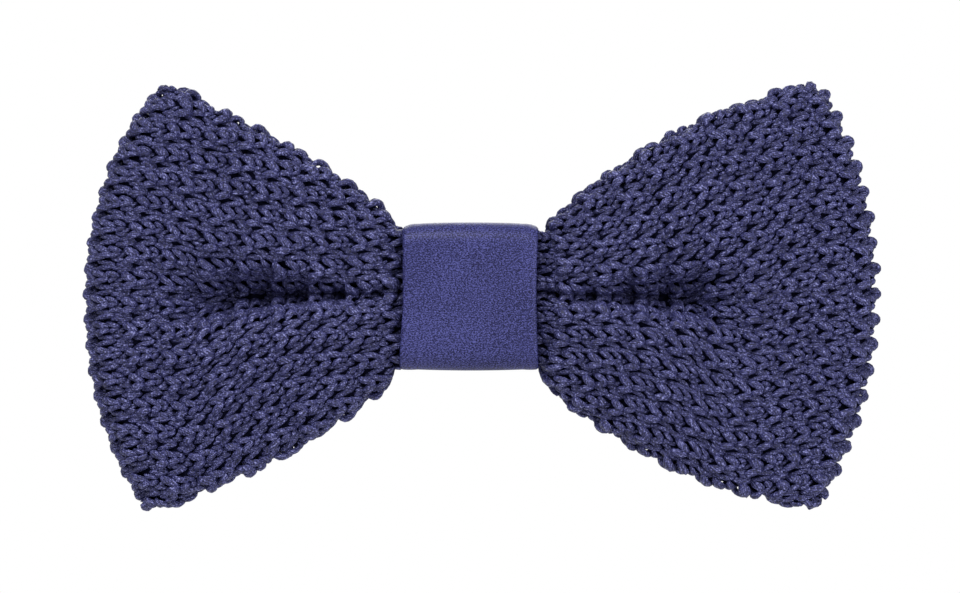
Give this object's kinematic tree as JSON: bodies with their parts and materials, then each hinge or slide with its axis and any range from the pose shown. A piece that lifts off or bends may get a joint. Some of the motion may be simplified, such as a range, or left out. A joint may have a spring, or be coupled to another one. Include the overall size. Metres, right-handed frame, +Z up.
{
  "type": "bow tie",
  "caption": "Pre-tied knitted bow with a satin centre wrap on an adjustable satin neck band, closed at the back by a flat hook and eye.",
  "frame": {"origin": "on the axis of the wearer's neck, level with the middle of the neck band", "axes": "+Z up along the neck, the bow faces -Y, +X is to the right of somebody who looks at the bow"},
  "size_m": [0.1214, 0.1407, 0.0644],
  "materials": {
    "knit": "matte knitted yarn with a faint sparkle",
    "satin": "fine close weave with a soft sheen",
    "thread": "twisted sewing thread",
    "metal": "polished nickel plate",
    "label": "plain white woven tape"
  },
  "bodies": {
    "neck_band": {"neck_band_front": "satin"},
    "bow": {"bow_loop": "knit", "bow_end_seam": "thread", "pinch_thread": "thread", "knot_wrap": "satin", "knot_wrap_seam": "thread"},
    "left_band": {"neck_band_left": "satin", "neck_band_left_rear": "satin"},
    "slider": {"slide_adjuster": "metal", "neck_band_slider_run": "satin", "neck_band_sewn_end": "satin", "slider_bar_tack": "thread", "hook_ply_outer": "satin", "hook_ply_inner": "satin"},
    "hook_end": {"neck_band_hook_fold": "satin"},
    "hook": {"hook": "metal"},
    "right_band": {"neck_band_right": "satin", "eye_bar_tack": "thread", "fibre_label": "label", "label_stitch_front": "thread", "label_stitch_rear": "thread"},
    "eye": {"eye": "metal"}
  },
  "joints": [
    {"name": "bow_shift", "type": "hinge", "parent": "neck_band", "child": "bow", "pos_m": [0, 0, 0], "axis": [0, 0, 1], "range_deg": [-6, 6]},
    {"name": "left_band_open", "type": "hinge", "parent": "neck_band", "child": "left_band", "pos_m": [-0.03018, -0.05226, 0], "axis": [0, 0, 1], "range_deg": [0, 30]},
    {"name": "right_band_open", "type": "hinge", "parent": "neck_band", "child": "right_band", "pos_m": [0.03018, -0.05226, 0], "axis": [0, 0, -1], "range_deg": [0, 30]},
    {"name": "slider_travel", "type": "hinge", "parent": "left_band", "child": "slider", "pos_m": [0, 0, 0], "axis": [0, 0, 1], "range_deg": [0, 52], "deforming": ["neck_band_left_rear"]},
    {"name": "hook_travel", "type": "hinge", "parent": "slider", "child": "hook_end", "pos_m": [0, 0, 0], "axis": [0, 0, 1], "range_deg": [-26, 0], "deforming": ["hook_ply_outer", "hook_ply_inner"]},
    {"name": "hook_swivel", "type": "hinge", "parent": "hook_end", "child": "hook", "pos_m": [-0.01549, 0.05781, 0], "axis": [0, 0, 1], "range_deg": [-15, 40]},
    {"name": "eye_swivel", "type": "hinge", "parent": "right_band", "child": "eye", "pos_m": [0.01677, 0.05849, 0], "axis": [0, 0, -1], "range_deg": [-15, 40]}
  ],
  "couplings": [
    {"joint": "hook_travel", "follows": "slider_travel", "ratio": -0.5}
  ]
}
